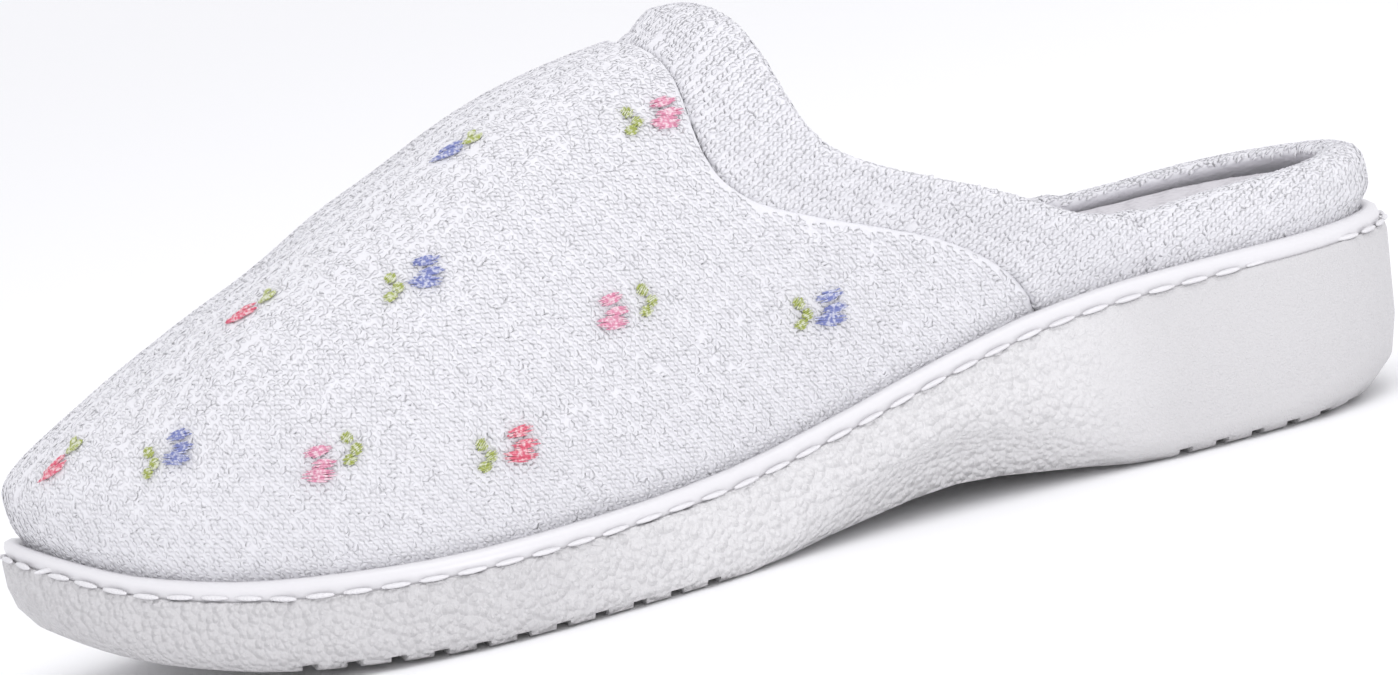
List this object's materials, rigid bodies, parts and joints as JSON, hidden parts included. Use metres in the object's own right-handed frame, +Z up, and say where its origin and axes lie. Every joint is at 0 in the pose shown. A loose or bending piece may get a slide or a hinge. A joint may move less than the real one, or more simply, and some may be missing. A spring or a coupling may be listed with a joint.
{
  "type": "house slipper",
  "caption": "Closed-toe house slipper (mule) for the left foot: padded terry upper with a rolled cuff and a low heel rim, on a moulded wedge sole with a treaded bottom.",
  "frame": {"origin": "centre of the bounding box in plan, at floor level", "axes": "-Y to the toe, +Y to the heel, +X to the outer (lateral) side of the left foot, +Z up"},
  "size_m": [0.0962, 0.2636, 0.0986],
  "materials": {
    "sole_rubber": "matt moulded rubber, white, fine grain on the sides",
    "welt_rubber": "smooth satin rubber, white",
    "footbed_terry": "terry towelling over foam, white",
    "upper_terry": "looped terry towelling, white, with small embroidered rosebuds"
  },
  "bodies": {
    "root": {"outsole": "sole_rubber", "welt": "welt_rubber", "insole": "footbed_terry", "vamp": "upper_terry", "collar_band": "upper_terry", "heel_band": "upper_terry"}
  },
  "joints": []
}
